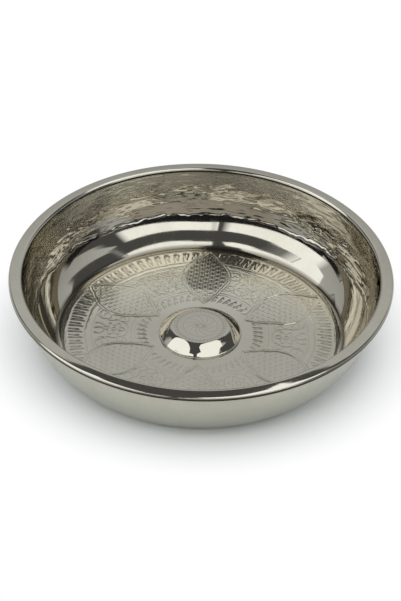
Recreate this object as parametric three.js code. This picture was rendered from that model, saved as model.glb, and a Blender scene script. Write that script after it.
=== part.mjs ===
// Hammam bowl: a beaten sheet-metal bath bowl with a wired rim and a hollow boss soldered over a hole in
// its floor. Millimetres, +Z up. The origin is the centre of the plane that the bowl stands on.
import * as THREE from 'three';

// Mouth and rim
const rimRadius = 100; // outermost point of the rolled edge
const bowlHeight = 41; // from the standing plane to the top of the flange
const sheet = 0.7; // thickness of the bowl's sheet
const flangeBend = 1.1; // radius on the inside of the bend between wall and flange
const flangeFall = 10; // degrees that the flange slopes down towards its edge
const wireRadius = 0.5; // wire inside the rolled edge
const wireClearance = 0.2; // between the wire and the sheet rolled round it
const rollSweep = 280; // degrees that the edge is rolled round the wire
const wireButtGap = 1.5; // between the two ends of the wire ring

// Wall and its lower curve
const wallRadius = 93.6; // outer face of the upright wall
const curveHeight = 34.5; // height at which the lower curve has become upright
const footAngle = 39; // degrees at which the curve leaves the standing ring
const curvePull = 0.36; // length of the curve's handles, as a share of its chord

// Floor
const standRadius = 75.5; // where the curve starts, the outside of the standing ring
const standWidth = 2.6; // flat width that the bowl stands on
const floorLift = 0.6; // height of the floor's underside above the standing plane
const liftRun = 1.2; // width of the slope between the standing ring and the floor

// Boss and its solder
const bossSheet = 0.5; // thickness of the boss's sheet
const bossHeight = 5.1; // from the floor to the boss's flat top
const topRadius = 14.2; // flat top of the boss
const footRadius = 21.1; // where the side of the boss meets its brim
const brimWidth = 0.5; // flat brim round the foot
const footOverHole = 1; // how far the foot reaches past the hole in the floor under it
const shoulderAngle = 8; // degrees of slope just outside the flat top
const sideAngle = 46; // degrees of slope at the foot
const solderThickness = 0.3; // layer between floor and brim
const solderToe = 0.2; // how far the solder spreads past the brim
const solderInset = 0.2; // from the edge of the hole to the solder

// Facets
const bowlSides = 72;
const bossSides = 48;
const curveSteps = 9;
const sideSteps = 7;
const bendSteps = 3;
const rollSteps = 9;
const wireSides = 8;

const degrees = Math.PI / 180;
const point = (r, z) => new THREE.Vector2(r, z);
const holeRadius = footRadius - footOverHole;

// Points of an arc in the r-z plane, from one angle in degrees to another.
function arc(centre, radius, from, to, steps) {
  const points = [];
  for (let i = 0; i <= steps; i++) {
    const angle = (from + (to - from) * i / steps) * degrees;
    points.push(point(centre.x + radius * Math.cos(angle), centre.y + radius * Math.sin(angle)));
  }
  return points;
}

// Points of a smooth curve that leaves one point and reaches another at given slopes in degrees.
function curve(start, startSlope, end, endSlope, pull, steps) {
  const handle = pull * start.distanceTo(end);
  const lead = point(Math.cos(startSlope * degrees), Math.sin(startSlope * degrees)).multiplyScalar(handle);
  const tail = point(Math.cos(endSlope * degrees), Math.sin(endSlope * degrees)).multiplyScalar(handle);
  const bezier = new THREE.CubicBezierCurve(start, start.clone().add(lead), end.clone().sub(tail), end);
  return bezier.getPoints(steps);
}

// The other face of a sheet: every point moved by the thickness to the left of the line, mitred at corners.
function otherFace(line, thickness) {
  const normals = [];
  for (let i = 0; i < line.length - 1; i++) {
    const along = line[i + 1].clone().sub(line[i]).normalize();
    normals.push(point(-along.y, along.x));
  }
  return line.map((corner, i) => {
    const before = normals[Math.max(i - 1, 0)];
    const after = normals[Math.min(i, normals.length - 1)];
    const mitre = before.clone().add(after).multiplyScalar(thickness / (1 + before.dot(after)));
    return corner.clone().add(mitre);
  });
}

// A ring or cap turned from an outline in the r-z plane that runs anticlockwise.
function turned(outline, sides) {
  const closed = [...outline];
  if (outline[0].x > 0) closed.push(outline[0].clone());
  return new THREE.LatheGeometry(closed, sides).rotateX(Math.PI / 2);
}

// The rolled edge: its bore fits the wire, and its centre follows the sloping flange.
const boreRadius = wireRadius + wireClearance;
const rollRadius = boreRadius + sheet;
const bendCentre = point(wallRadius + flangeBend, bowlHeight - sheet - flangeBend);
const flangeNormal = 90 - flangeFall;
const rollCentreRadius = rimRadius - rollRadius;
const rollDrop = boreRadius - flangeBend;
const flangeRun = rollCentreRadius - bendCentre.x + rollDrop * Math.cos(flangeNormal * degrees);
const rollCentre = point(
  rollCentreRadius,
  bendCentre.y - flangeRun * Math.tan(flangeFall * degrees) - rollDrop * Math.sin(flangeNormal * degrees),
);

// Underside of the floor, outside of the wall, underside of the flange and bore of the roll, in one line.
function bowlShell() {
  const standInner = standRadius - standWidth;
  const wallTop = point(wallRadius, curveHeight);
  const lowerFace = [
    point(holeRadius, floorLift),
    point(standInner - liftRun, floorLift),
    point(standInner, 0),
    ...curve(point(standRadius, 0), footAngle, wallTop, 90, curvePull, curveSteps),
    ...arc(bendCentre, flangeBend, 180, flangeNormal, bendSteps),
    ...arc(rollCentre, boreRadius, flangeNormal, flangeNormal - rollSweep, rollSteps),
  ];
  const upperFace = otherFace(lowerFace, sheet);
  return turned([...lowerFace, ...upperFace.reverse()], bowlSides);
}

// The wire is one ring with a butt joint, so it keeps a small gap between its ends.
class RingPath extends THREE.Curve {
  getPoint(share, target = new THREE.Vector3()) {
    const halfGap = wireButtGap / 2 / rollCentre.x;
    const angle = halfGap + share * (2 * Math.PI - 2 * halfGap);
    return target.set(rollCentre.x * Math.cos(angle), rollCentre.x * Math.sin(angle), rollCentre.y);
  }
}

function rimWire() {
  const section = new THREE.Shape();
  section.setFromPoints(arc(point(0, 0), wireRadius, 0, 360 * (1 - 1 / wireSides), wireSides - 1));
  const along = { extrudePath: new RingPath(), steps: bowlSides, bevelEnabled: false };
  return new THREE.ExtrudeGeometry(section, along);
}

// Heights round the boss: the solder lies on the floor, the brim on the solder.
const floorTop = floorLift + sheet;
const solderTop = floorTop + solderThickness;
const brimTop = solderTop + bossSheet;
const bossTop = floorTop + bossHeight;
const brimRadius = footRadius + brimWidth;

function boss() {
  const shoulder = point(topRadius, bossTop);
  const foot = point(footRadius, brimTop);
  const upperFace = [
    point(0, bossTop),
    ...curve(shoulder, -shoulderAngle, foot, -sideAngle, curvePull, sideSteps),
    point(brimRadius, brimTop),
  ];
  const lowerFace = otherFace(upperFace, -bossSheet);
  return turned([...lowerFace, ...upperFace.reverse()], bossSides);
}

function bossSolder() {
  const section = [
    point(holeRadius + solderInset, floorTop),
    point(brimRadius + solderToe, floorTop),
    point(brimRadius, solderTop),
    point(holeRadius + solderInset, solderTop),
  ];
  return turned(section, bossSides);
}

function piece(name, geometry, color, roughness, metalness) {
  const mesh = new THREE.Mesh(geometry, new THREE.MeshStandardMaterial({ color, roughness, metalness }));
  mesh.name = name;
  return mesh;
}

const bowl = new THREE.Group();
bowl.add(piece('bowl_shell', bowlShell(), 0xa3a294, 0.22, 1));
bowl.add(piece('rim_wire', rimWire(), 0x6f6d68, 0.5, 1));
bowl.add(piece('boss', boss(), 0xb0aea2, 0.08, 1));
bowl.add(piece('boss_solder', bossSolder(), 0xc4c3bb, 0.35, 1));

export default bowl;
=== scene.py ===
# %% [markdown]
# # A bath bowl of beaten and chased nickel plate
# The bowl is one spun sheet with a beaten inner wall, a flat floor chased with petals, a flange whose edge
# is rolled round a wire, and a hollow boss soldered to the middle of the floor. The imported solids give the
# places and sizes. This script gives each of them the fine shape and the finish that the photograph shows.

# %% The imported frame
import math
import bmesh
import bpy
import numpy as np
from mathutils import Matrix, Vector


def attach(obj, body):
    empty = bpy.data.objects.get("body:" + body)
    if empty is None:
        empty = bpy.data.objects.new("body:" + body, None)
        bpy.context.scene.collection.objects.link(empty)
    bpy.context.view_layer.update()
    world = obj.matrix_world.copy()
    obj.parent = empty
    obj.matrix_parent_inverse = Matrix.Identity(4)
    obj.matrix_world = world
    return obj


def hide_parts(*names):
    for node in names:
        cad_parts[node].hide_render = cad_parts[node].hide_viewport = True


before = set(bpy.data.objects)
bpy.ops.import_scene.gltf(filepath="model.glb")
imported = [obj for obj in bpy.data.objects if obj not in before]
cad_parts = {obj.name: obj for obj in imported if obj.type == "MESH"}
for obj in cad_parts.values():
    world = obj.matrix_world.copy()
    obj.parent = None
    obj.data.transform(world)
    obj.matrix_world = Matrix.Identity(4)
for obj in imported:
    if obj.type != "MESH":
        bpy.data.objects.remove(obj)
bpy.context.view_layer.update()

MM = 0.001

# %% [markdown]
# ## The camera
# The photograph looks down at the bowl by about 39 degrees through a long lens. Blender's camera looks along
# its own -Z, so the three directions right, up and back are worked out first and become its matrix. A lens
# with a sensor 36 mm wide measures the longer side of a picture, which here is its height of 601 pixels.

# %% Camera
PICTURE_HEIGHT = 601
focal_pixels = 3000.0
distance, sideways = 1.5814, -0.00013
elevation, pitch, roll = math.radians(38.795), math.radians(0.662), math.radians(-1.108)

forward = Vector((0, math.cos(elevation), -math.sin(elevation)))
right = Vector((1, 0, 0))
forward = Matrix.Rotation(pitch, 3, right) @ forward
up = right.cross(forward)
right, up = (Matrix.Rotation(roll, 3, forward) @ v for v in (right, up))

camera = bpy.data.objects.new("camera", bpy.data.cameras.new("camera"))
bpy.context.scene.collection.objects.link(camera)
bpy.context.scene.camera = camera
camera.data.sensor_width = 36.0
camera.data.lens = focal_pixels / PICTURE_HEIGHT * camera.data.sensor_width
camera.location = (sideways, -distance * math.cos(elevation), distance * math.sin(elevation))
axes = Matrix((right, up, -forward)).transposed()
camera.rotation_euler = axes.to_euler()
bpy.context.scene.view_settings.view_transform = "Standard"
print("lens in mm:", round(camera.data.lens, 1), "camera at", [round(c, 3) for c in camera.location])

# %% [markdown]
# ## Helpers for turned work
# Nearly everything here is round, so each piece starts as a line in the plane of radius and height and is
# spun about the vertical axis, as on a lathe. A full spin with a thousand steps is slow, so the line is spun
# through an eighth of a turn, and the eighth is copied and turned three times: by an eighth, a quarter and a
# half. Merging doubles closes the seams. Lines are lists of (radius, height) in millimetres.

# %% Lines
def arc(centre, radius, first, last, steps):
    """Points of an arc, from one angle in degrees to another."""
    angles = np.radians(np.linspace(first, last, steps + 1))
    return [(centre[0] + radius * math.cos(a), centre[1] + radius * math.sin(a)) for a in angles]


def soft_curve(start, start_slope, end, end_slope, pull, shares):
    """Points of a curve that leaves one point and reaches another at slopes in degrees."""
    start, end = np.array(start, float), np.array(end, float)
    handle = pull * np.linalg.norm(end - start)
    leave, reach = math.radians(start_slope), math.radians(end_slope)
    lead = start + handle * np.array([math.cos(leave), math.sin(leave)])
    tail = end - handle * np.array([math.cos(reach), math.sin(reach)])
    t = np.asarray(shares)[:, None]
    line = (1 - t) ** 3 * start + 3 * (1 - t) ** 2 * t * lead + 3 * (1 - t) * t ** 2 * tail + t ** 3 * end
    return [tuple(p) for p in line]


def line_normals(line):
    """Normals to the left of a line at its points. At a corner they are as much longer as a mitre needs."""
    line = np.array(line, float)
    along = np.diff(line, axis=0)
    along /= np.linalg.norm(along, axis=1)[:, None]
    left = np.c_[-along[:, 1], along[:, 0]]
    before, after = np.vstack([left[:1], left]), np.vstack([left, left[-1:]])
    return (before + after) / (1 + np.einsum("ij,ij->i", before, after))[:, None]


def other_face(line, thickness):
    """The other face of a sheet, offset to the left of its line."""
    return [tuple(p) for p in np.array(line) + thickness * line_normals(line)]


print("an arc in two steps:", [tuple(round(c, 2) for c in p) for p in arc((0, 0), 1, 0, 90, 2)])

# %% Turning
SHARP_DEGREES = 50
MERGE_DISTANCE = 0.002


def link_shape(shape, name):
    """Puts a bmesh into the scene as a mesh object."""
    mesh = bpy.data.meshes.new(name)
    shape.to_mesh(mesh)
    shape.free()
    piece = bpy.data.objects.new(name, mesh)
    bpy.context.scene.collection.objects.link(piece)
    return piece


def to_object(shape, name):
    """Makes a finished mesh object of a bmesh, smooth but for its sharp edges."""
    bmesh.ops.recalc_face_normals(shape, faces=shape.faces)
    piece = link_shape(shape, name)
    piece.data.shade_smooth()
    piece.data.set_sharp_from_angle(angle=math.radians(SHARP_DEGREES))
    print(name, "made:", len(piece.data.polygons), "faces")
    return piece


def turn(name, outline, steps):
    """Spins a closed outline into a ring or cap. The steps are a multiple of eight."""
    shape = bmesh.new()
    corners = [shape.verts.new((radius * MM, 0, height * MM)) for radius, height in outline]
    sides = [shape.edges.new(pair) for pair in zip(corners, corners[1:] + corners[:1])
             if pair[0].co.x or pair[1].co.x]
    bmesh.ops.spin(shape, geom=corners + sides, cent=(0, 0, 0), axis=(0, 0, 1), angle=math.pi / 4,
                   steps=steps // 8, use_merge=False)
    for part in (8, 4, 2):
        copy = bmesh.ops.duplicate(shape, geom=shape.verts[:] + shape.edges[:] + shape.faces[:])["geom"]
        bmesh.ops.rotate(shape, verts=[v for v in copy if isinstance(v, bmesh.types.BMVert)], cent=(0, 0, 0),
                         matrix=Matrix.Rotation(2 * math.pi / part, 3, "Z"))
    bmesh.ops.remove_doubles(shape, verts=shape.verts, dist=MERGE_DISTANCE * MM)
    return to_object(shape, name)


# %% Points of a mesh
def read_points(piece):
    """The mesh's points in millimetres, as an array of x, y and z."""
    points = np.empty(len(piece.data.vertices) * 3, np.float32)
    piece.data.vertices.foreach_get("co", points)
    return points.reshape(-1, 3).astype(float) / MM


def write_points(piece, points):
    """Moves the mesh's points to these places in millimetres."""
    piece.data.vertices.foreach_set("co", (points * MM).astype(np.float32).ravel())
    piece.data.update()


def mark_points(piece, name, values):
    """Keeps one number per point on the mesh, for a material to read."""
    layer = piece.data.attributes.new(name, "FLOAT", "POINT")
    layer.data.foreach_set("value", np.clip(values, 0, 1).astype(np.float32))


def out_from_axis(points):
    """How far points are from the bowl's axis."""
    return np.hypot(points[:, 0], points[:, 1])


def angle_round(points):
    """The angle of points round the bowl's axis."""
    return np.arctan2(points[:, 1], points[:, 0])


# %% [markdown]
# Marks on the metal are numbers from 0 to 1 at each of its points. Three small functions make nearly all of
# them: a cut is deepest in its middle, a patch is level and has steeper sides, and a ramp climbs between two
# values.

# %% Cuts, patches and ramps
def cut(distance, width):
    """How deep a graver's cut is at a distance from its middle, from 0 to 1."""
    return np.exp(-(distance / width) ** 2)


def patch(distance, width):
    """A mark that is nearly 1 inside its width and falls off steeply outside it."""
    return np.exp(-(distance / width) ** 4)


def ramp(values, start, end):
    """0 before the start, 1 past the end and a straight climb between them."""
    return np.clip((values - start) / (end - start), 0, 1)


print("cut and patch at half their width:", round(float(cut(0.5, 1)), 2), round(float(patch(0.5, 1)), 2))

# %% [markdown]
# ## The bowl's own line
# One line runs along the underside: floor, standing ring, lower curve, wall, bend, flange and the bore of the
# rolled edge. The inner face is the same line moved by the sheet's thickness. The outside needs few points,
# and the inside is drawn again with many, because the hammer marks are only a millimetre wide.

# %% The line of the sheet
SHEET = 0.7
RIM_RADIUS, BOWL_HEIGHT = 100.0, 41.0
FLOOR_EDGE, FLOOR_UNDER = 71.2, 0.6
FLOOR_TOP = FLOOR_UNDER + SHEET
stand_inner, stand_outer = 73.0, 75.1
curve_foot, foot_slope, curve_pull = (75.5, 0.03), 39, 0.36
finer_from = 0.4
wall_radius, curve_top, flange_fall = 93.6, 34.5, 10
wire_radius, bore_radius, bend_radius = 0.5, 0.7, 1.1
roll_radius, roll_height, roll_sweep = bore_radius + SHEET, 38.919, 280
bend_centre = (wall_radius + bend_radius, BOWL_HEIGHT - SHEET - bend_radius)
roll_centre = (RIM_RADIUS - roll_radius, roll_height)


def sheet_line(low_steps, high_steps, wall_steps, bend_steps, flange_steps, roll_steps):
    """The underside of the bowl's sheet, from the floor's edge to the end of the roll."""
    line = [(FLOOR_EDGE, FLOOR_UNDER), (71.7, FLOOR_UNDER), (72.0, 0.47), (72.7, 0.08),
            (stand_inner, 0.0), (stand_outer, 0.0)]
    shares = np.r_[np.linspace(0, finer_from, low_steps, endpoint=False),
                   np.linspace(finer_from, 1, high_steps + 1)]
    line += soft_curve(curve_foot, foot_slope, (wall_radius, curve_top), 90, curve_pull, shares)
    line += [(wall_radius, h) for h in np.linspace(curve_top, bend_centre[1], wall_steps + 1)[1:]]
    over = 90 - flange_fall
    line += arc(bend_centre, bend_radius, 180, over, bend_steps)[1:]
    bore = arc(roll_centre, bore_radius, over, over - roll_sweep, roll_steps)
    flange_shares = np.linspace(0, 1, flange_steps + 1)
    line += soft_curve(line[-1], 1 - flange_fall, bore[0], -1 - flange_fall, 0.35, flange_shares)[1:]
    return line + bore[1:]


outside = sheet_line(low_steps=6, high_steps=14, wall_steps=2, bend_steps=5, flange_steps=4, roll_steps=14)
inside_base = sheet_line(low_steps=12, high_steps=72, wall_steps=11, bend_steps=12, flange_steps=6,
                         roll_steps=24)
inside = other_face(inside_base, SHEET)


# %% Wall and rim
def wall_end(line):
    """The place in a line where the wall ends and the bend to the flange starts."""
    return min(range(len(line)), key=lambda i: math.dist(line[i], (wall_radius, bend_centre[1])))


out_end, in_end = wall_end(outside), wall_end(inside_base)
bowl_wall = turn("bowl_wall", outside[:out_end + 1] + inside[in_end::-1], steps=720)
bowl_rim = turn("bowl_rim", outside[out_end:] + inside[:in_end - 1:-1], steps=720)
print("points of the wall:", out_end + in_end + 2, "highest:", round(max(h for r, h in inside), 3))

# %% [markdown]
# ## Hammer marks
# The inner wall is beaten in level rows with a narrow hammer, blow beside blow. A blow leaves a long shallow
# trough, and two troughs meet in a fine ridge that catches the light. The marks are laid out on the unrolled
# wall with a seeded random generator, and the deepest trough wins at each point. Here and there the hammer
# came back and left a nest of short deep marks.

# %% The unrolled wall
BEATEN_FROM = 13.0
UNROLLED_RADIUS = 91.0
TILT_ROOM = 0.3
cell = 0.2
band = np.array([p for p in inside[:in_end] if p[1] > BEATEN_FROM])
band_height = np.r_[0, np.cumsum(np.linalg.norm(np.diff(band, axis=0), axis=1))]
band_length = 2 * math.pi * UNROLLED_RADIUS
unrolled = np.zeros((int(band_height[-1] / cell) + 2, int(band_length / cell)))
rng = np.random.default_rng(7)
print("cells up and round the unrolled wall:", unrolled.shape)


def blow(middle_u, middle_v, half_length, half_width, depth, tilt):
    """One level trough, pressed into the unrolled wall."""
    reach_u, reach_v = int(half_length / cell) + 1, int((half_width + TILT_ROOM) / cell) + 1
    u, v = np.arange(-reach_u, reach_u + 1), np.arange(-reach_v, reach_v + 1)
    rows = int(middle_v / cell) + v
    keep = (rows >= 0) & (rows < unrolled.shape[0])
    rows, v = rows[keep], v[keep]
    columns = (int(middle_u / cell) + u) % unrolled.shape[1]
    across = v[:, None] * cell - tilt * u[None, :] * cell
    trough = depth * (1 - (u[None, :] * cell / half_length) ** 4 - (across / half_width) ** 2)
    spot = np.ix_(rows, columns)
    unrolled[spot] = np.maximum(unrolled[spot], trough)


# %% Beating
row = 0.5
while row < band_height[-1]:
    along = rng.uniform(0, 6)
    while along < band_length:
        half_length, half_width = rng.uniform(4.0, 14.0), rng.uniform(0.7, 1.35)
        blow(along, row + rng.normal(0, 0.35), half_length, half_width,
             depth=rng.uniform(0.03, 0.15), tilt=rng.normal(0, 0.02))
        along += half_length * rng.uniform(1.0, 1.7)
    row += rng.uniform(0.9, 1.4)

NESTS, MARKS_IN_NEST = 34, 22
for nest in range(NESTS):
    nest_u, nest_v = rng.uniform(0, band_length), rng.normal(13.5, 4.0)
    for mark in range(MARKS_IN_NEST):
        blow(nest_u + rng.normal(0, 6.5), nest_v + rng.normal(0, 1.5),
             half_length=rng.uniform(1.4, 3.4), half_width=rng.uniform(0.7, 1.0),
             depth=rng.uniform(0.08, 0.20), tilt=rng.normal(0, 0.15))

# %% [markdown]
# A polished ridge is never knife sharp, so the map is softened by averaging each cell with its neighbours.

# %% Softening the ridges
WEIGHTS_UP, WEIGHTS_ROUND = (0.1, 0.25, 0.3, 0.25, 0.1), (0.15, 0.2, 0.3, 0.2, 0.15)
for repeat in range(2):
    padded = np.pad(unrolled, ((2, 2), (0, 0)), mode="edge")
    unrolled = sum(w * padded[k:k + unrolled.shape[0]] for k, w in enumerate(WEIGHTS_UP))
    unrolled = sum(w * np.roll(unrolled, k - 2, axis=1) for k, w in enumerate(WEIGHTS_ROUND))
print("deepest blow:", round(float(unrolled.max()), 3), "mm")

# %% [markdown]
# The beating pushed a little metal down before it, and this stands as a ragged lip where the smooth lower
# curve begins. Above it the whole wall swells softly in and out. Both are sums of sine waves, each with its
# own number of waves round the bowl. A band just under the lip is painted dark as shade.

# %% The ragged lip and the soft swell of the wall
EDGE_HEIGHT = 1.4
EDGE_WAVES = ((5, 0.25), (11, 0.35), (19, 0.30), (37, 0.25), (61, 0.22), (97, 0.18), (149, 0.12))
SWELL_WAVES = ((7, 0.22, 0.05), (16, 0.5, 0.04), (29, 0.9, 0.03), (43, 1.4, 0.02), (71, 2.1, 0.012))

around_u = np.arange(unrolled.shape[1]) * cell / UNROLLED_RADIUS
up_v = np.arange(unrolled.shape[0])[:, None] * cell
edge = EDGE_HEIGHT + sum(height * np.sin(k * around_u + rng.uniform(0, 6)) for k, height in EDGE_WAVES)
above_edge = up_v - edge
hammered = ramp(above_edge, -0.2, 0.6)
unrolled *= hammered
swell = sum(height * np.sin(k * around_u + rng.uniform(0, 6)) * np.sin(up_v * climb + rng.uniform(0, 6))
            for k, climb, height in SWELL_WAVES)
unrolled += swell * ramp(above_edge, 0, 3.0)
raggedness = 1 + 0.5 * np.sin(23 * around_u + 1.0) * np.sin(9 * around_u)
lip_height = (0.02 + 0.12 * np.cos(around_u) ** 2) * raggedness
unrolled -= lip_height * cut(above_edge, 0.55)
# A band just under the lip, which the finish paints dark as shade.
lip_painted_shade = patch(above_edge + 0.1, 0.5)
print("the lip's edge wanders between", round(float(edge.min()), 2), "and", round(float(edge.max()), 2), "mm")


# %% Moving the wall's points
def read_map(values, u, v):
    """Reads a map between its cells. It runs round in u and stops at its edges in v."""
    u, v = u / cell, np.clip(v / cell, 0, values.shape[0] - 1.001)
    i, j = np.floor(u).astype(int), np.floor(v).astype(int)
    fu, fv = u - i, v - j

    def at(aside, above):
        return values[np.minimum(j + above, values.shape[0] - 1), (i + aside) % values.shape[1]]
    return (at(0, 0) * (1 - fu) + at(1, 0) * fu) * (1 - fv) + (at(0, 1) * (1 - fu) + at(1, 1) * fu) * fv


points = read_points(bowl_wall)
radius, angle = out_from_axis(points), angle_round(points)
inner_radius = np.interp(points[:, 2], band[:, 1], band[:, 0])
beaten = (np.abs(radius - inner_radius) < 0.06) & (points[:, 2] > band[0, 1]) & (points[:, 2] < band[-1, 1])
height_along = np.interp(points[:, 2], band[:, 1], band_height)
around_points = (angle % (2 * math.pi)) * UNROLLED_RADIUS
dent = np.where(beaten, read_map(unrolled, around_points, height_along), 0)
dent *= ramp(band_height[-1] - height_along, 0, 0.8)
lean = np.interp(points[:, 2], band[:, 1], -line_normals(band)[:, 0])
points[:, 0] += dent * lean * np.cos(angle)
points[:, 1] += dent * lean * np.sin(angle)
points[:, 2] -= dent * np.sqrt(np.clip(1 - lean ** 2, 0, 1))
write_points(bowl_wall, points)
print("beaten points:", int(beaten.sum()))

# %% [markdown]
# Two numbers at each point tell the finish how pale and how dark the plate is. The first makes it paler and a
# little rougher; on the beaten wall it is strongest at the left and weakest at the right, which is painted
# light on the left. The second says how dark it is: dirt stays in the dents, the line just under the lip is
# painted shade, and thin dark lines lie over each edge of the standing ring and where the lower curve begins.

# %% Satin with painted light, dirt and painted shade on the wall
GROOVES = ((72.6, 0.26, 1.0), (75.2, 0.26, 1.0), (76.2, 0.28, 0.7))  # radius, half width and strength
GROOVE_LOW, GROOVE_HIGH = 0.55, 2.4

satin_and_painted_light = np.where(beaten, read_map(hammered, around_points, height_along), 0)
# Paler and rougher on the beaten wall, most at the left: painted light on that side.
mark_points(bowl_wall, "satin_and_painted_light", satin_and_painted_light * (0.80 - 0.8 * np.clip(points[:, 0] / 80, -0.2, 1)))
groove = sum(strength * patch(radius - middle, half_width) for middle, half_width, strength in GROOVES)
groove *= (points[:, 2] > GROOVE_LOW) & (points[:, 2] < GROOVE_HIGH)
# The band under the lip is painted shade; the dents hold dirt.
painted_shade_under_lip = read_map(lip_painted_shade, around_points, height_along)
dents_and_lip_shade = np.maximum(np.clip(dent, 0, 0.2) * 0.6, 0.9 * painted_shade_under_lip)
mark_points(bowl_wall, "dirt_and_painted_shade", np.where(beaten, dents_and_lip_shade, groove))
print("points in the grooves:", int((groove > 0.5).sum()))

# %% [markdown]
# A beaten bowl is never quite true: its mouth wavers by up to a tenth of a millimetre in height, and by less
# in radius.

# %% Waver
WAVES = ((2, 0.4), (3, 1.9), (5, 4.1), (9, 2.2))
WAVER_IN, WAVER_DOWN = 0.0003, 0.10
for piece in (bowl_wall, bowl_rim):
    points = read_points(piece)
    waver = sum(np.sin(k * angle_round(points) + phase) / k for k, phase in WAVES) / 2
    share = np.clip(points[:, 2] / 40, 0, 1)
    points[:, :2] *= (1 - WAVER_IN * share * (1 + waver) / 2)[:, None]
    points[:, 2] -= WAVER_DOWN * share ** 2 * (1 - waver) / 2
    write_points(piece, points)
    print(piece.name, "is", round(float(points[:, 2].max()), 2), "mm high")

# %% [markdown]
# The underside of the rolled edge and the inside of the bend where the wall meets the flange are painted dark
# as shade. The points that face outwards and down on the roll and those of a thin line along the bend are
# marked, and the rim's finish turns them dark.

# %% Painted shade under the roll and in the bend
def round_centre(points, centre):
    """Distance and angle in degrees from a centre in the plane of radius and height."""
    out, rise = out_from_axis(points) - centre[0], points[:, 2] - centre[1]
    return np.hypot(out, rise), np.degrees(np.arctan2(rise, out))


points = read_points(bowl_rim)
from_roll, facing = round_centre(points, roll_centre)
on_roll = (from_roll > bore_radius + SHEET / 2) & (out_from_axis(points) > roll_centre[0] - 1.5)
# Painted shade on the underside of the roll and along the inside of the bend.
rim_painted_shade = ramp(facing, 28, 16) * ramp(facing, -120, -90) * on_roll
from_bend, facing = round_centre(points, bend_centre)
on_bend = np.abs(from_bend - bend_radius - SHEET) < 0.25
rim_painted_shade += ramp(facing % 360, 150, 162) * on_bend
mark_points(bowl_rim, "dirt_and_painted_shade", rim_painted_shade)
print("shaded points:", int((rim_painted_shade > 0.5).sum()))

# %% [markdown]
# ## The chased floor
# The floor is engraved with six petals full of darts, panels of leaves between them, a border of key strokes
# and an inner band of shorter ones. All lines are worked out as distances: a point close to a stroke is
# pushed down. The floor is turned as three flat rings that meet in plain lines, each with a fine grid of
# points, so that the strokes are real relief.

# %% Strokes and punches
FAR = 9.0
PUNCH_GRID = 64


def near(x, y, stroke):
    """Distance from each point to a stroke drawn through a few corners."""
    best = np.full(x.shape, FAR)
    for (ax, ay), (bx, by) in zip(stroke, stroke[1:]):
        t = np.clip(((x - ax) * (bx - ax) + (y - ay) * (by - ay)) / ((bx - ax) ** 2 + (by - ay) ** 2), 0, 1)
        best = np.minimum(best, np.hypot(x - ax - t * (bx - ax), y - ay - t * (by - ay)))
    return best


def punches(x, y, spacing, seed):
    """Distance to the nearest of many punch marks set by eye on a loose grid."""
    jitter = np.random.default_rng(seed).uniform(0.15, 0.85, (PUNCH_GRID, PUNCH_GRID, 2))
    i, j = np.floor(x / spacing).astype(int), np.floor(y / spacing).astype(int)
    best = np.full(x.shape, FAR)
    for a in (-1, 0, 1):
        for b in (-1, 0, 1):
            spot = jitter[(i + a) % PUNCH_GRID, (j + b) % PUNCH_GRID]
            mark_x, mark_y = (i + a + spot[:, 0]) * spacing, (j + b + spot[:, 1]) * spacing
            best = np.minimum(best, np.hypot(mark_x - x, mark_y - y))
    return best


def across_unit(theta, count, radius, lead=0):
    """Distance sideways from the middle of the nearest of a number of equal units round a circle."""
    return ((theta * count / (2 * math.pi) + lead) % 1 - 0.5) * 2 * math.pi * radius / count


def spiral(middle_u, middle_v, first, last, start, turns):
    """Corners of a scroll that winds in from one radius to another."""
    t = np.linspace(0, 1, 26)
    r, a = first + (last - first) * t, start + turns * 2 * math.pi * t
    return list(zip(middle_u + r * np.cos(a), middle_v + r * np.sin(a)))


# %% [markdown]
# A petal is drawn once, pointing along v with its middle at u = 0, and only its right half is needed. Its
# edge starts as eleven corners. Cutting the corners off four times makes it smooth, and its two tips stay.

# %% Petals
PETAL_MIDDLE, COLUMN, ROW = 49, 2.9, 3.35
petal_edge = [(0.0, 71.0), (4.0, 66.4), (8.2, 61.2), (11.5, 55.2), (12.7, 49.4), (12.0, 44.2), (9.9, 40.2),
              (7.9, 37.4), (7.4, 35.6), (3.9, 31.2), (0.0, 27.0)]
for repeat in range(4):
    cuts = [((3 * a + c) / 4, (3 * b + d) / 4, (a + 3 * c) / 4, (b + 3 * d) / 4)
            for (a, b), (c, d) in zip(petal_edge, petal_edge[1:])]
    petal_edge = petal_edge[:1] + [p for q in cuts for p in (q[:2], q[2:])][1:-1] + petal_edge[-1:]
edge_u, edge_v = np.array(petal_edge[::-1]).T
print("points of a petal's edge:", len(petal_edge))


def from_petal(u, v):
    """Distance from the petal's edge, below 0 inside the petal."""
    to_edge = near(np.abs(u), v, petal_edge)
    in_petal = np.abs(u) < np.interp(v, edge_v, edge_u, left=-1, right=-1)
    return np.where(in_petal, -to_edge, to_edge)


def petal_relief(u, v, signed, at_back):
    """Two cuts with a plain band between them, round rows of darts on a net of fine lines."""
    outline = np.maximum(0.95 * cut(signed - 0.8, 0.30), 0.95 * cut(signed + 0.8, 0.34))
    column = np.round(u / COLUMN)
    du = u - COLUMN * column
    dv = (v - PETAL_MIDDLE + ROW / 2 * (column % 2)) % ROW - ROW / 2
    dart = np.exp(-((du / 0.48) ** 2 + dv ** 2) ** 1.5) ** (1 - 0.55 * at_back)
    slant = 0.866 * (v - PETAL_MIDDLE)
    across_net = [u, 0.5 * u + slant, 0.5 * u - slant]
    net = np.min([np.abs((c / COLUMN) % 1 - 0.5) for c in across_net], axis=0) * COLUMN
    fill = np.maximum(dart, (0.55 + 0.3 * at_back) * cut(net, 0.26))
    return np.where(signed < -1.5, np.maximum(outline, fill), outline)


# %% [markdown]
# A panel between two petals holds a flower, two scrolls with their stems and small leaves, on a ground of
# punch marks. It is drawn upright, with q outwards along its middle and p across it. The strokes of its right
# half serve the left half as well.

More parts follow.
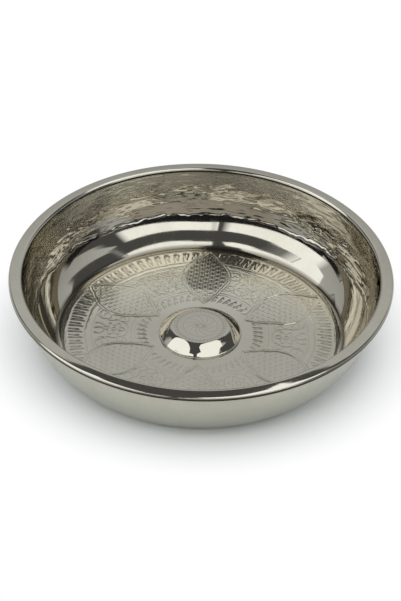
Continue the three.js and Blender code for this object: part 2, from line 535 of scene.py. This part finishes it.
# %% Panels
FLOWER_OUT = 45.5
LEAF_STROKES = (spiral(11.2, 50.6, 4.6, 0.9, 0.3, 1.25), spiral(8.6, 41.6, 3.0, 0.8, -1.2, -1.1),
                [(1.0, 38.0), (4.8, 39.2), (7.5, 44.0), (7.0, 48.5), (11, 55.2)],
                [(2.5, 50.5), (4.5, 53.5), (4.0, 55.8)], [(15.5, 47.0), (18.0, 50.5), (20.5, 51.8)],
                [(16.0, 54.2), (19.5, 53.6), (23, 51.4)])


def panel_relief(p, q, ground):
    """Flower, scrolls and leaves of a panel. The punched ground stops round the flower."""
    rho, phi = np.hypot(p, (q - FLOWER_OUT) * 0.85), np.arctan2(p, q - FLOWER_OUT)
    flower = np.maximum(cut(rho - 1.2, 0.35), cut((rho - 4.0 - 1.1 * np.cos(6 * phi)) * 0.75, 0.34))
    flower = np.maximum(flower, 0.8 * cut(np.sin(3 * phi) * rho * 0.5, 0.26) * (rho > 1.4) * (rho < 3.4))
    leaves = cut(near(p, q, [(0, 50.5), (0.6, 53.5), (0, 56)]), 0.5)
    for side in (-1, 1):
        for stroke in LEAF_STROKES:
            leaves = np.maximum(leaves, cut(near(side * p, q, stroke), 0.36))
    return np.maximum(np.maximum(flower, leaves), np.where(rho > 5.6, ground, 0))


# %% Border and inner band
BORDER_INNER = 61


def border_relief(r, theta, from_back):
    """Leaning key strokes in pairs. At the back a row of blocks stands outside them."""
    s = across_unit(theta, 84, 66)
    key = cut(near(s, r, [(-1.75, 62.2), (-1.15, 69.5)]), 0.40)
    key = np.maximum(key, cut(near(s, r, [(-1.15, 69.5), (0.55, 63.6), (1.15, 69.2)]), 0.40))
    block = np.exp(-((s + 0.2 * (r - 69.2)) / 1.25) ** 4 - ((r - 69.3) / 0.75) ** 4)
    return np.maximum(key, 0.9 * block * patch(from_back, 0.8))


def inner_relief(r, theta):
    """Shorter strokes, each with a hook."""
    s = across_unit(theta, 54, 31)
    hook = cut(near(s, r, [(-1.0, 28.4), (0.6, 33.2), (1.3, 32.0)]), 0.38)
    return np.maximum(hook, 0.8 * cut(near(s, r, [(0.4, 28.8), (0.9, 30.2)]), 0.36))


# %% [markdown]
# The whole floor is put together from these, on a sheet that is a little wavy, because a hand wanders. The
# plain bands along the petals and outside the panels stand a little proud. The hand presses harder here and
# softer there, and scrubbing has worn the side that lies in front. Most of the chasing is clean. The chased
# lines are darker in the border, most of all at its left, and at the back and right in the parts named below.
# The back petal is painted dark as shade, in its lines and its ground.

# %% The whole floor
TURNED = math.radians(-3.3)
SIXTH = math.pi / 3
RINGS = ((57.2, 0.8, 0.34), (60.7, 0.85, 0.36), (36.4, 0.8, 0.34), (34.6, 0.6, 0.28))  # radius, depth, width


def floor_relief(x, y):
    """Depth of the chasing less its raised bands, and its dirt and painted shade, at points of the floor."""
    x = x + 0.22 * np.sin(y * 0.31 + 1.3) + 0.12 * np.sin(y * 1.1)
    y = y + 0.22 * np.sin(x * 0.27 + 0.4) + 0.12 * np.sin(x * 0.9)
    r, from_back = np.hypot(x, y), np.arctan2(x, y)
    theta = from_back + TURNED
    in_petal, in_panel = (theta + SIXTH / 2) % SIXTH - SIXTH / 2, theta % SIXTH - SIXTH / 2
    u, v = r * np.sin(in_petal), r * np.cos(in_petal)
    p, q = r * np.sin(in_panel), r * np.cos(in_panel)
    signed = from_petal(u, v)
    open_floor = signed > 1.3
    at_back = patch(from_back, 0.30)

    depth = petal_relief(u, v, signed, at_back)
    lines = sum(strength * cut(r - ring, width) for ring, strength, width in RINGS)
    depth = np.where(signed > 0.4, np.maximum(depth, lines), depth)
    ground = 0.55 * cut(punches(x, y, 1.55, 3), 0.40)
    for relief, low, high in ((panel_relief(p, q, ground), 37.2, 56.4),
                              (border_relief(r, theta, from_back), 61.2, 70.6),
                              (inner_relief(r, theta), 27.6, 34.0)):
        depth = np.where(open_floor & (r > low) & (r < high), np.maximum(depth, relief), depth)
    bands = 0.3 * cut(signed, 0.75) + 0.3 * cut(r - 59.0, 0.9) * open_floor
    raised = np.where(depth < 0.15, bands, 0) + 0.6 * cut(r - 70.8, 0.3)

    in_border, from_left = r > BORDER_INNER, from_back + 1.22
    press = 0.84 + 0.16 * np.sin(x * 0.21 + 0.8) * np.sin(y * 0.17 + 2.1)
    press *= 0.6 + 0.4 * np.clip(y / 60 + 0.6, 0, 1)
    press *= 1 + 0.5 * cut(from_left, 0.38) * in_border
    left_border = patch(from_left, 0.38) * in_border
    # The back petal is painted dark as shade, in its lines and its ground.
    shaded_back_petal = at_back * (r > 38) * (signed < -1.2)
    back_blocks = patch(from_back, 0.75) * (r > 68.3)
    right_hooks = patch(from_back - 0.50, 0.40) * (r < 35.2)
    darker = left_border + shaded_back_petal + back_blocks + right_hooks + 0.35 * in_border
    dirt_and_shade = 0.26 + 0.74 * np.clip(darker, 0, 1)
    return np.clip(depth, 0, 1.15) * press - raised, np.clip(depth, 0, 1) ** 2 * dirt_and_shade + 0.35 * shaded_back_petal


# %% [markdown]
# ## Three rings of floor
# Each ring is turned from a thin box-shaped outline with many points along its top. All three have the same
# number of steps round, so the points of neighbours lie on each other and no crack shows. The plate is
# painted paler towards the back, less so in the border: painted light.

# %% Turning and chasing the floor
CHASE_DEPTH = 0.19
HOLE_RADIUS = 20.0


def floor_ring(name, inner, outer, rows):
    """A flat ring of the floor with the chasing pressed into its top."""
    top_line = [(r, FLOOR_TOP) for r in np.linspace(outer, inner, rows + 1)]
    ring = turn(name, [(inner, FLOOR_UNDER), (outer, FLOOR_UNDER)] + top_line, steps=1080)
    points = read_points(ring)
    on_top = points[:, 2] > FLOOR_TOP - 0.01
    depth, dirt_and_painted_shade = floor_relief(points[:, 0], points[:, 1])
    depth = np.where(on_top, depth, 0)
    points[:, 2] -= depth * CHASE_DEPTH
    write_points(ring, points)
    mark_points(ring, "dirt_and_painted_shade", dirt_and_painted_shade * on_top)
    in_border = out_from_axis(points) > BORDER_INNER
    # Paler towards the back, half as much in the border: painted light.
    mark_points(ring, "satin_and_painted_light", ramp(points[:, 1], 8, 38) * (1 - 0.5 * in_border))
    print(name, "chased points:", int((depth > 0.3).sum()))
    return ring


floor_rings = [floor_ring("bowl_floor_inner", HOLE_RADIUS, 35.5, rows=34),
               floor_ring("bowl_floor_panels", 35.5, 59.0, rows=60),
               floor_ring("bowl_floor_border", 59.0, FLOOR_EDGE, rows=34)]

# %% [markdown]
# ## The boss
# The boss is a cap pressed over a form: a flat top, a shoulder, a side like a mirror and a narrow brim. It is
# turned from one closed line, top face and under face together. Its flat top is chased with a whirl of
# curved arms, a ring of ticks and a ring of beads.

# %% Boss
BOSS_SHEET, SOLDER_THICKNESS, BOSS_HEIGHT = 0.5, 0.3, 5.1
top_radius, foot_radius, brim_width = 14.2, 21.1, 0.5
top_slope, side_slope, shoulder_pull = -11, -40, 0.30
brim_radius = foot_radius + brim_width
solder_top = FLOOR_TOP + SOLDER_THICKNESS
brim_top = solder_top + BOSS_SHEET
boss_top = FLOOR_TOP + BOSS_HEIGHT

shoulder = soft_curve((top_radius, boss_top), top_slope, (foot_radius, brim_top), side_slope, shoulder_pull,
                      np.linspace(0, 1, 26))
brim_end = (brim_radius, brim_top)
cap_top = [(r, boss_top) for r in np.linspace(0, top_radius, 40)[:-1]]
cap_top += shoulder + [(foot_radius + brim_width / 2, brim_top), brim_end]
cap_line = [(0, boss_top), (7, boss_top)] + shoulder[::3] + [(foot_radius, brim_top), brim_end]
cap_line = [p for i, p in enumerate(cap_line) if i == 0 or math.dist(p, cap_line[i - 1]) > 0.05]
cap_under = other_face(cap_line, -BOSS_SHEET)
cap_under[0] = (0, boss_top - BOSS_SHEET)
boss_cap = turn("boss_cap", cap_under + cap_top[::-1], steps=360)

# %% Chasing the boss
BOSS_CHASE_DEPTH = 0.07
ARMS, TICKS, BEADS = 11, 46, 40


def whirl_relief(x, y):
    """Depth of the chasing on the boss's flat top, from 0 to 1."""
    r, theta = np.hypot(x, y), np.arctan2(x, y)
    arms = np.abs((ARMS * theta / (2 * math.pi) + r / 4.5) % 1 - 0.5) * r * 0.55
    whirl = np.maximum(0.9 * cut(arms, 0.22), 0.5 * cut(punches(x, y, 0.9, 5), 0.24))
    depth = np.where((r > 1.2) & (r < 8.4), whirl, 0)
    depth = np.maximum(depth, 0.8 * cut(r - 1.1, 0.22))
    depth = np.maximum(depth, 0.9 * cut(r - 9.0, 0.24) + 0.8 * cut(r - 12.1, 0.22))
    ticks = across_unit(theta, TICKS, r, r / 3)
    depth = np.where((r > 9.5) & (r < 11.7), np.maximum(depth, 0.8 * cut(ticks, 0.2)), depth)
    beads = np.hypot(across_unit(theta, BEADS, r), (r - 13.2) * 1.1)
    return np.maximum(depth, np.where((r > 12.3) & (r < 14.1), 1 - cut(beads, 0.85), 0))


points = read_points(boss_cap)
on_top = (points[:, 2] > boss_top - 0.01) & (out_from_axis(points) < top_radius - 0.05)
depth = np.where(on_top, whirl_relief(points[:, 0], points[:, 1]), 0)
points[:, 2] -= depth * BOSS_CHASE_DEPTH
write_points(boss_cap, points)
on_brim = out_from_axis(points) > foot_radius + 0.1
mark_points(boss_cap, "dirt_and_painted_shade", np.where(on_brim, 0.85, depth))
print("chased points of the boss:", int((depth > 0.3).sum()))

# %% [markdown]
# ## Solder and wire
# The solder is a low ring that creeps a little past the brim, and it is not even, because it was wiped by
# hand. The wire in the rolled edge is one drawn wire with its two ends a little apart. It is a circle spun
# round almost once, so it isn't merged at the end.

# %% Solder ring
solder_inner, solder_toe = 20.3, 21.8
toe_line = [(solder_toe, FLOOR_TOP), (21.79, 1.38), (21.74, 1.47), (21.67, 1.55), (brim_radius, solder_top)]
solder_line = [(solder_inner, FLOOR_TOP)] + toe_line + [(solder_inner, solder_top)]
solder_ring = turn("solder_ring", solder_line, steps=240)
points = read_points(solder_ring)
creep = sum(np.sin(k * angle_round(points) + phase)
            for k, phase in ((3, 0.7), (7, 2.0), (13, 4.4), (29, 1.0))) / 4
at_toe = out_from_axis(points) > brim_radius + 0.05
points[:, :2] *= (1 - 0.004 * at_toe * (1 + creep) / 2)[:, None]
write_points(solder_ring, points)

# %% Rim wire
BUTT_GAP = 1.5
shape = bmesh.new()
section = bmesh.ops.create_circle(shape, cap_ends=True, segments=14, radius=wire_radius * MM)
bmesh.ops.rotate(shape, verts=section["verts"], cent=(0, 0, 0), matrix=Matrix.Rotation(math.pi / 2, 3, "X"))
bmesh.ops.translate(shape, verts=section["verts"], vec=(roll_centre[0] * MM, 0, roll_centre[1] * MM))
gap = BUTT_GAP / roll_centre[0]
bmesh.ops.rotate(shape, verts=shape.verts, cent=(0, 0, 0), matrix=Matrix.Rotation(gap / 2, 3, "Z"))
bmesh.ops.spin(shape, geom=shape.verts[:] + shape.edges[:] + shape.faces[:], cent=(0, 0, 0), axis=(0, 0, 1),
               angle=2 * math.pi - gap, steps=300, use_merge=False)
rim_ring = to_object(shape, "rim_wire_ring")

# %% [markdown]
# ## Effects that the finishes share
# Three effects appear on more than one piece, so each is a node group. Tarnish drifts between the metal's
# colour and a browner stain. Turning lines are the rings that a lathe and polishing wheel leave, read from
# the distance to the axis. Hairlines are the fine scratches of use.

# %% Helpers for nodes
def new_group(name, inputs, outputs):
    """An empty shader group with its sockets."""
    group = bpy.data.node_groups.new(name, "ShaderNodeTree")
    for label, kind, value in inputs:
        socket = group.interface.new_socket(name=label, in_out="INPUT", socket_type=kind)
        socket.default_value = value
    for label, kind in outputs:
        group.interface.new_socket(name=label, in_out="OUTPUT", socket_type=kind)
    return group, group.nodes.new("NodeGroupInput"), group.nodes.new("NodeGroupOutput")


def add(tree, kind, values=(), **settings):
    """A node with its settings, and its sockets set or linked: (socket, number or output)."""
    node = tree.nodes.new("ShaderNode" + kind)
    for key, value in settings.items():
        setattr(node, key, value)
    for key, value in dict(values).items():
        if isinstance(value, bpy.types.NodeSocket):
            tree.links.new(value, node.inputs[key])
        else:
            node.inputs[key].default_value = value
    return node


def math_node(tree, operation, *terms):
    """One Math node on numbers or outputs."""
    return add(tree, "Math", dict(enumerate(terms)), operation=operation).outputs[0]


COLOR, FLOAT = "NodeSocketColor", "NodeSocketFloat"

# %% Tarnish
tarnish, given, result = new_group(
    "Tarnish", [("Metal", COLOR, (0.5, 0.5, 0.5, 1)), ("Stain", COLOR, (0.3, 0.25, 0.2, 1)),
                ("Scale", FLOAT, 60.0), ("Amount", FLOAT, 0.4)], [("Color", COLOR), ("Mask", FLOAT)])
place = add(tarnish, "TexCoord").outputs["Object"]
broad = add(tarnish, "TexNoise", {"Vector": place, "Scale": given.outputs["Scale"], "Detail": 5.0,
                                  "Roughness": 0.62, "Distortion": 0.4}).outputs[0]
finer = math_node(tarnish, "MULTIPLY", given.outputs["Scale"], 9.0)
spots = add(tarnish, "TexNoise", {"Vector": place, "Scale": finer, "Detail": 3.0}).outputs[0]
both = math_node(tarnish, "ADD", math_node(tarnish, "MULTIPLY", broad, 0.75),
                 math_node(tarnish, "MULTIPLY", spots, 0.25))
spread = add(tarnish, "MapRange", {"Value": both, "From Min": 0.42, "From Max": 0.62}).outputs[0]
mask = math_node(tarnish, "MULTIPLY", spread, given.outputs["Amount"])
tint = add(tarnish, "Mix", {0: mask, 6: given.outputs["Metal"], 7: given.outputs["Stain"]}, data_type="RGBA")
tarnish.links.new(tint.outputs[2], result.inputs["Color"])
tarnish.links.new(mask, result.inputs["Mask"])
print(tarnish.name, "has", len(tarnish.nodes), "nodes")

# %% Turning lines
turning, given, result = new_group(
    "Turning lines", [("Fineness", FLOAT, 900.0), ("Height scale", FLOAT, 0.35)], [("Height", FLOAT)])
place = add(turning, "TexCoord").outputs["Object"]
parts = add(turning, "SeparateXYZ", {"Vector": place})
flat = add(turning, "CombineXYZ", {"X": parts.outputs["X"], "Y": parts.outputs["Y"]}).outputs[0]
from_axis = add(turning, "VectorMath", {0: flat}, operation="LENGTH").outputs["Value"]
rise = math_node(turning, "MULTIPLY", parts.outputs["Z"], given.outputs["Height scale"])
course = math_node(turning, "ADD", from_axis, rise)
fine_course = math_node(turning, "MULTIPLY", course, given.outputs["Fineness"])
rings = add(turning, "TexNoise", {"W": fine_course, "Scale": 1.0, "Detail": 4.0, "Roughness": 0.7},
            noise_dimensions="1D").outputs[0]
turning.links.new(rings, result.inputs["Height"])
print(turning.name, "has", len(turning.nodes), "nodes")

# %% Hairlines
hairlines, given, result = new_group("Hairlines", [("Scale", FLOAT, 260.0)], [("Mask", FLOAT)])
place = add(hairlines, "TexCoord").outputs["Object"]
lines = []
for turned, seed in ((0.5, 0.0), (2.1, 3.7)):
    aimed = add(hairlines, "Mapping", {"Vector": place, "Rotation": (0.0, 0.0, turned),
                                       "Location": (seed, 0, 0), "Scale": (1.0, 0.035, 0.3)}).outputs[0]
    streak = add(hairlines, "TexNoise", {"Vector": aimed, "Scale": given.outputs["Scale"], "Detail": 2.0})
    narrow = {"Value": streak.outputs[0], "From Min": 0.62, "From Max": 0.72}
    lines.append(add(hairlines, "MapRange", narrow).outputs[0])
hairlines.links.new(math_node(hairlines, "MAXIMUM", *lines), result.inputs["Mask"])
print("groups:", [g.name for g in bpy.data.node_groups])

# %% [markdown]
# ## Finishes
# Nickel plate is a mirror with a warm grey colour. What tells it apart from chrome is its wear: brown tarnish
# and dirt in the chased lines, soft polishing rings and hairline scratches. Each finish is one metallic
# Principled shader, fed by the shared effects. It reads the two numbers that the pieces carry: where the
# first is high the plate is paler and a little rougher, in places as painted light, and where the second is
# high it is dark, from dirt and in places from painted shade. The rim has a finish of its own whose nearly
# black colour paints shade. The bowl's outside has a rougher, duller finish, and its darker colour is partly
# painted shade.

# %% A metal
# The third colour is a paler plate that paints light on the left of the beaten wall and at the back of the
# floor.
NICKEL, STAIN, FRESH_AND_LIT_PLATE = (0.55, 0.512, 0.435), (0.42, 0.365, 0.28), (0.72, 0.68, 0.585, 1)


def metal(name, roughness, tarnish_scale, line_fineness, line_depth, dark_in_marks, color=NICKEL, stain=STAIN,
          tarnish_amount=0.25, hairline=0.05, marks_roughness=0.15, dirt_and_shade=(0.075, 0.062, 0.045)):
    """A metal with tarnish, turning lines, hairlines, dirt and painted shade in its marks and paler plate as
    painted light in places.
    """
    finish = bpy.data.materials.new(name)
    finish.use_nodes = True
    tree = finish.node_tree
    shader = tree.nodes["Principled BSDF"]
    shader.inputs["Metallic"].default_value = 1.0
    stained = add(tree, "Group", {"Metal": (*color, 1), "Stain": (*stain, 1), "Scale": tarnish_scale,
                                  "Amount": tarnish_amount}, node_tree=tarnish)
    dirt_and_painted_shade = add(tree, "Attribute", attribute_name="dirt_and_painted_shade").outputs["Fac"]
    marks = math_node(tree, "MULTIPLY", dirt_and_painted_shade, dark_in_marks)
    satin_and_painted_light_area = add(tree, "Attribute", attribute_name="satin_and_painted_light").outputs["Fac"]
    fresh_and_painted_light = add(tree, "Mix", {0: math_node(tree, "MULTIPLY", satin_and_painted_light_area, 0.95), 6: stained.outputs["Color"],
                              7: FRESH_AND_LIT_PLATE}, data_type="RGBA").outputs[2]
    surface = add(tree, "Mix", {0: marks, 6: fresh_and_painted_light, 7: (*dirt_and_shade, 1)}, data_type="RGBA")
    tree.links.new(surface.outputs[2], shader.inputs["Base Color"])
    scratched = add(tree, "Group", node_tree=hairlines)
    rough = roughness
    for mask, share in ((stained.outputs["Mask"], 0.10), (scratched.outputs["Mask"], hairline),
                        (dirt_and_painted_shade, marks_roughness), (satin_and_painted_light_area, 0.06)):
        rough = math_node(tree, "MULTIPLY_ADD", mask, share, rough)
    tree.links.new(rough, shader.inputs["Roughness"])
    rings = add(tree, "Group", {"Fineness": line_fineness}, node_tree=turning)
    relief = math_node(tree, "MULTIPLY_ADD", scratched.outputs["Mask"], -0.3, rings.outputs["Height"])
    bump = add(tree, "Bump", {"Height": relief, "Strength": 1.0, "Distance": line_depth * MM})
    tree.links.new(bump.outputs["Normal"], shader.inputs["Normal"])
    print(name, "has a roughness of", roughness)
    return finish


# %% The finishes
nickel_inside = metal("nickel_inside", roughness=0.045, tarnish_scale=38, line_fineness=700,
                      line_depth=0.0005, dark_in_marks=0.85, hairline=0.03, marks_roughness=0.04)
# The outside's darker colour is partly a duller finish and partly painted shade.
nickel_outside_dull_and_shaded = metal("nickel_outside_dull_and_shaded", roughness=0.20, tarnish_scale=30, line_fineness=1100,
                       line_depth=0.012, dark_in_marks=0.0, color=(0.43, 0.43, 0.365),
                       stain=(0.34, 0.33, 0.275), tarnish_amount=0.30)
# The rim's near-black dirt colour paints the shade under the roll and in the bend.
nickel_rim = metal("nickel_rim", roughness=0.045, tarnish_scale=38, line_fineness=1500,
                   line_depth=0.0012, dark_in_marks=1.0, hairline=0.03, dirt_and_shade=(0.022, 0.02, 0.017))
nickel_chased = metal("nickel_chased", roughness=0.08, tarnish_scale=45, line_fineness=1500,
                      line_depth=0.0015, dark_in_marks=0.90, hairline=0.04)
nickel_mirror = metal("nickel_mirror", roughness=0.03, tarnish_scale=70, line_fineness=1200,
                      line_depth=0.001, dark_in_marks=0.35, tarnish_amount=0.10, hairline=0.02,
                      marks_roughness=0.05)
tin = metal("wiped_tin", roughness=0.32, tarnish_scale=260, line_fineness=2600, line_depth=0.01,
            dark_in_marks=0.0, color=(0.50, 0.50, 0.48), stain=(0.30, 0.29, 0.26), tarnish_amount=0.5)
iron = metal("drawn_iron", roughness=0.45, tarnish_scale=400, line_fineness=3000, line_depth=0.01,
             dark_in_marks=0.0, color=(0.28, 0.27, 0.26), stain=(0.16, 0.11, 0.07), tarnish_amount=0.7)


# %% Dressing the pieces
def dress(piece, node, slot, *finishes):
    """Gives a piece its finishes and its body, and hides the CAD node it stands for. The slot is not used."""
    for finish in finishes:
        piece.data.materials.append(finish)
    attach(piece, "root")
    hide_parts(node)
    print(piece.name, "stands for", node)


dress(bowl_wall, "bowl_shell", "nickel_sheet", nickel_inside, nickel_outside_dull_and_shaded)
dress(bowl_rim, "bowl_shell", "nickel_sheet", nickel_rim, nickel_outside_dull_and_shaded)
for ring in floor_rings:
    dress(ring, "bowl_shell", "nickel_sheet", nickel_chased, nickel_outside_dull_and_shaded)
dress(boss_cap, "boss", "nickel_boss", nickel_mirror)
dress(solder_ring, "boss_solder", "tin_solder", tin)
dress(rim_ring, "rim_wire", "iron_wire", iron)

# %% [markdown]
# Faces of the bowl's sheet that look outwards below the flange, and all that look down, take the duller
# outside finish, whose darker colour is partly painted shade.

# %% Outside finish
FLANGE_UNDERSIDE = 38.6
OUTSIDE_LIMIT = wall_radius + 1
for piece in [bowl_wall, bowl_rim, *floor_rings]:
    count = len(piece.data.polygons)
    normals, centres = np.empty(count * 3, np.float32), np.empty(count * 3, np.float32)
    piece.data.polygons.foreach_get("normal", normals)
    piece.data.polygons.foreach_get("center", centres)
    normals, centres = normals.reshape(-1, 3), centres.reshape(-1, 3) / MM
    out = out_from_axis(centres)
    outwards = (normals[:, 0] * centres[:, 0] + normals[:, 1] * centres[:, 1]) / np.maximum(out, 1)
    low_outside = (outwards > 0.25) & (centres[:, 2] < FLANGE_UNDERSIDE) & (out < OUTSIDE_LIMIT)
    dull = low_outside | (normals[:, 2] < -0.5)
    piece.data.polygons.foreach_set("material_index", dull.astype(np.int32))
    print(piece.name, "outside faces:", int(dull.sum()))

# %% [markdown]
# ## Floor, light and what the metal reflects
# A mirror shows the room, so the light is laid out like the room in the photograph. First come the paper and
# a pale grey world that is darker low down. The paper keeps the bowl's shadow close to the bowl. Farther out
# the camera and the reflections see it as plain white.

# %% Paper
PAPER_HALF_WIDTH = 14
SHADE_ENDS, WHITE_FROM = 0.079, 0.112

shape = bmesh.new()
bmesh.ops.create_grid(shape, x_segments=1, y_segments=1, size=PAPER_HALF_WIDTH)
bmesh.ops.translate(shape, verts=shape.verts, vec=(0, 0, -0.05 * MM))
floor = to_object(shape, "studio_floor")
paper = bpy.data.materials.new("white_paper")
paper.use_nodes = True
tree = paper.node_tree
shader = tree.nodes["Principled BSDF"]
shader.inputs["Roughness"].default_value = 0.9
shader.inputs["Specular IOR Level"].default_value = 0.1
place = add(tree, "TexCoord").outputs["Object"]
grain = add(tree, "TexNoise", {"Vector": place, "Scale": 40.0})
shade = add(tree, "Mix", {0: grain.outputs[0], 6: (0.93, 0.92, 0.91, 1), 7: (0.95, 0.94, 0.93, 1)},
            data_type="RGBA")
tree.links.new(shade.outputs[2], shader.inputs["Base Color"])


def seen_only(tree):
    """1 for rays from the camera and for reflections, 0 for the rays that light the room."""
    path = add(tree, "LightPath").outputs
    seen = math_node(tree, "MAXIMUM", path["Is Camera Ray"], path["Is Glossy Ray"])
    return math_node(tree, "MAXIMUM", seen, path["Is Transmission Ray"])


middle = add(tree, "Mapping", {"Vector": place, "Scale": (0.93, 1.0, 1.0)}).outputs[0]
away = add(tree, "VectorMath", {0: middle}, operation="LENGTH").outputs["Value"]
white = add(tree, "MapRange", {"Value": away, "From Min": SHADE_ENDS, "From Max": WHITE_FROM}).outputs[0]
plain = add(tree, "Emission", {"Color": (1, 1, 1, 1), "Strength": 1.0})
mixed = add(tree, "MixShader", {0: math_node(tree, "MULTIPLY", white, seen_only(tree)), 1: shader.outputs[0],
                                2: plain.outputs[0]})
tree.links.new(mixed.outputs[0], tree.nodes["Material Output"].inputs["Surface"])
floor.data.materials.append(paper)

# %% Room
world = bpy.data.worlds.new("room")
world.use_nodes = True
tree = world.node_tree
direction = add(tree, "SeparateXYZ", {"Vector": add(tree, "TexCoord").outputs["Generated"]})
level = add(tree, "MapRange", {"Value": direction.outputs["Z"], "From Min": 0.0, "From Max": 0.64,
                               "To Min": 0.40, "To Max": 0.70}).outputs[0]
grey = add(tree, "Background", {"Color": (0.95, 1.0, 1.02, 1), "Strength": level})
clear = add(tree, "Background", {"Color": (1, 1, 1, 1), "Strength": 1.0})
seen = add(tree, "MixShader", {0: add(tree, "LightPath").outputs["Is Camera Ray"], 1: grey.outputs[0],
                               2: clear.outputs[0]})
tree.links.new(seen.outputs[0], tree.nodes["World Output"].inputs["Surface"])
bpy.context.scene.world = world
print("the world has", len(tree.nodes), "nodes")

# %% [markdown]
# Two large windows stand overhead with a dark gap between them, and two more behind the camera. Dark cards
# give the metal its black edges, and a grey and a warm one the softer tones. Only reflections see the cards,
# and the windows are hidden from the camera too, so that every view keeps its plain background. A panel that
# would end in a hard line fades out instead.

# %% Panels of light and dark
def glow(name, strength, color=(0.95, 1.0, 1.03)):
    """A surface that gives off plain light and turns clear where its points are marked as an end."""
    material = bpy.data.materials.new(name)
    material.use_nodes = True
    material.node_tree.nodes.remove(material.node_tree.nodes["Principled BSDF"])
    tree = material.node_tree
    light = add(tree, "Emission", {"Color": (*color, 1), "Strength": strength})
    clear = add(tree, "BsdfTransparent")
    faded = add(tree, "MixShader", {0: add(tree, "Attribute", attribute_name="end").outputs["Fac"],
                                    1: light.outputs[0], 2: clear.outputs[0]})
    tree.links.new(faded.outputs[0], tree.nodes["Material Output"].inputs["Surface"])
    return material


window_light, grey_card = glow("window", 1.62), glow("grey_card", 0.28)
dark_card, black_card = glow("dark_card", 0.10), glow("black_card", 0.02)
warm_card = glow("warm_card", 0.35, (1.03, 0.96, 0.84))
ROOM = 3.0


def set_up(shape, name, material, lights_room):
    """Puts a window or card on the stage, out of the camera's sight."""
    panel = link_shape(shape, name)
    panel.data.materials.append(material)
    panel.visible_camera = False
    panel.visible_diffuse = panel.visible_shadow = lights_room
    return panel


def overhead(name, corners, material, height=1.0, lights_room=False):
    """A level panel. Its corners are directions: metres sideways and away for each metre up."""
    shape = bmesh.new()
    shape.faces.new([shape.verts.new((x * ROOM, y * ROOM, height * ROOM)) for x, y in corners])
    set_up(shape, name, material, lights_room)


def around(name, low, high, first, last, material, distance=1.0, dips=(0, 0), soft=0, lights_room=False):
    """An upright curved panel between two elevations and two bearings from +X, in degrees. Its lower and
    upper edges come down by the dips 60 degrees from -Y, and its ends fade over the soft degrees."""
    shape = bmesh.new()
    reach = distance * ROOM
    turn_first = Matrix.Rotation(math.radians(first), 3, "Z")
    ends = [shape.verts.new(turn_first @ Vector((reach, 0, reach * math.tan(math.radians(e)))))
            for e in (low, high)]
    edge = shape.edges.new(ends)
    bmesh.ops.spin(shape, geom=ends + [edge], cent=(0, 0, 0), axis=(0, 0, 1), steps=24, use_merge=False,
                   angle=math.radians(last - first))
    middle = reach * (math.tan(math.radians(low)) + math.tan(math.radians(high))) / 2
    for corner in shape.verts:
        aside = abs(math.degrees(math.atan2(corner.co.x, -corner.co.y)))
        edge_angle, dip = (low, dips[0]) if corner.co.z < middle else (high, dips[1])
        corner.co.z = reach * math.tan(math.radians(edge_angle - dip * (aside / 60) ** 1.3))
    panel = set_up(shape, name, material, lights_room)
    if soft:
        bearing = np.degrees(angle_round(np.array([tuple(v.co) for v in panel.data.vertices]))) % 360
        from_end = np.minimum((bearing - first) % 360, (last - bearing) % 360)
        mark_points(panel, "end", 1 - from_end / soft)


# %% Windows
overhead("window_left", [(-0.24, 0.57), (-1.83, 0.34), (-1.83, -0.60), (-0.22, -0.60), (-0.24, -0.52),
                         (-0.40, -0.46), (-0.34, -0.30)], window_light, lights_room=True)
overhead("window_right", [(0.17, 0.62), (1.22, -0.30), (0.98, -0.38), (0.98, -0.60), (-0.11, -0.60),
                          (-0.10, -0.52), (0.04, -0.46), (-0.02, -0.2), (0.02, 0.1)], window_light,
         lights_room=True)
around("window_behind_left", 36, 50, 174, 255, window_light, dips=(10, 6), soft=6, lights_room=True)
around("window_behind_right", 36, 50, 258, 332, window_light, dips=(10, 6), soft=5, lights_room=True)

# %% Cards
overhead("card_between_windows", [(-0.40, 0.72), (-0.40, -0.66), (0.1, -0.66), (0.3, 0.72)], dark_card,
         height=1.03)
overhead("card_far", [(-1.2, 0.72), (1.2, 0.72), (1.2, 0.40), (-1.2, 0.40)], dark_card, height=1.04)
# Name, elevations, bearings, card, distance, dips and soft degrees of the upright cards
CARDS = (("bar_behind", 47, 58.5, 203, 352, dark_card, 0.5, (6.5, 7), 12),
         ("side_left", 24, 50, 124, 154, dark_card, 1, (0, 0), 6),
         ("side_right", 28, 56, 12, 52, dark_card, 1, (0, 0), 6),
         ("camera_gap", 34, 52, 250, 263, dark_card, 1.03),
         ("beside_window", 20, 78, 318, 352, dark_card, 1.06, (0, 34), 9),
         ("by_floor_left", 64, 76, 340, 384, dark_card, 0.8, (18, 16), 6),
         ("by_floor_right", 54, 65, 188, 224, grey_card, 0.5, (12, 13.3), 12),
         ("lip_left", 12, 54, 336, 378, dark_card, 1.14, (0, 20), 6),
         ("behind", 24, 38, 182, 338, black_card, 1.1, (5, 0), 6),
         ("low_front", 6, 23, 216, 324, warm_card, 1.2, (0, 0), 10),
         ("low_right", 11, 18, 334, 376, black_card, 1.12, (0, 0), 6),
         ("low_left", 11, 17, 160, 192, black_card, 1.12, (0, 0), 6))
for name, *place in CARDS:
    around("card_" + name, *place)
